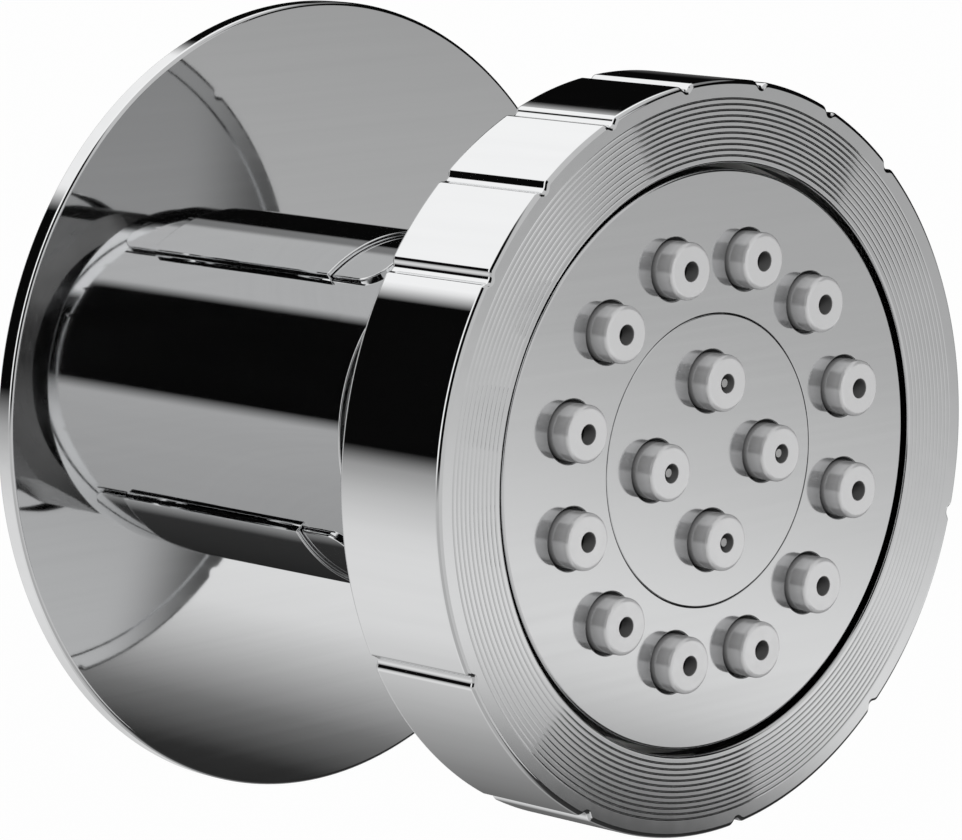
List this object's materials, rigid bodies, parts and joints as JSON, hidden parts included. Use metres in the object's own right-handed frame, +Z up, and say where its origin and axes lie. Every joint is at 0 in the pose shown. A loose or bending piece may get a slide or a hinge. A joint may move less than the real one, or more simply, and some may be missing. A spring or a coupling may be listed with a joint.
{
  "type": "shower body jet",
  "caption": "Round wall-mounted shower body jet: flat wall plate and stem, ball-jointed spray head with soft nozzles and a notched turning ring.",
  "frame": {"origin": "centre of the wall plate's back face, on the jet's axis, where it meets the wall", "axes": "+Z up, -Y out of the wall along the jet, +Y into the wall along the inlet thread"},
  "size_m": [0.06, 0.0582, 0.06],
  "materials": {
    "chrome": "polished chrome plate on brass",
    "satin_metal": "satin",
    "brass": "machined",
    "steel": "plain stainless",
    "grey_silicone": "soft matt silicone",
    "black_rubber": "moulded rubber",
    "white_plastic": "moulded acetal"
  },
  "bodies": {
    "wall": {"wall_plate": "chrome", "wall_gasket": "black_rubber", "inlet_nipple": "brass", "inlet_washer": "black_rubber", "inlet_screen": "steel", "flow_limiter": "white_plastic", "stem_sleeve": "chrome", "lock_collar": "chrome", "ball_stem": "chrome", "stem_oring": "black_rubber"},
    "pivot": {"friction_ring": "white_plastic"},
    "head": {"ball_nut": "chrome", "socket_seal": "black_rubber", "head_hub": "chrome", "ring_oring": "black_rubber", "distributor": "white_plastic", "distributor_screws": "steel", "outer_nozzles": "grey_silicone", "inner_nozzles": "grey_silicone", "spray_cores": "steel", "face_plate": "satin_metal", "centre_disc": "satin_metal"},
    "selector": {"grip_ring": "chrome", "back_cover": "chrome", "diverter_disc": "white_plastic"}
  },
  "joints": [
    {"name": "head_pan", "type": "hinge", "parent": "wall", "child": "pivot", "pos_m": [0, -0.027, 0], "axis": [0, 0, 1], "range_deg": [-10, 10]},
    {"name": "head_tilt", "type": "hinge", "parent": "pivot", "child": "head", "pos_m": [0, -0.027, 0], "axis": [1, 0, 0], "range_deg": [-10, 10]},
    {"name": "ring_turn", "type": "hinge", "parent": "head", "child": "selector", "pos_m": [0, -0.033, 0], "axis": [0, -1, 0], "range_deg": [0, 80]}
  ]
}
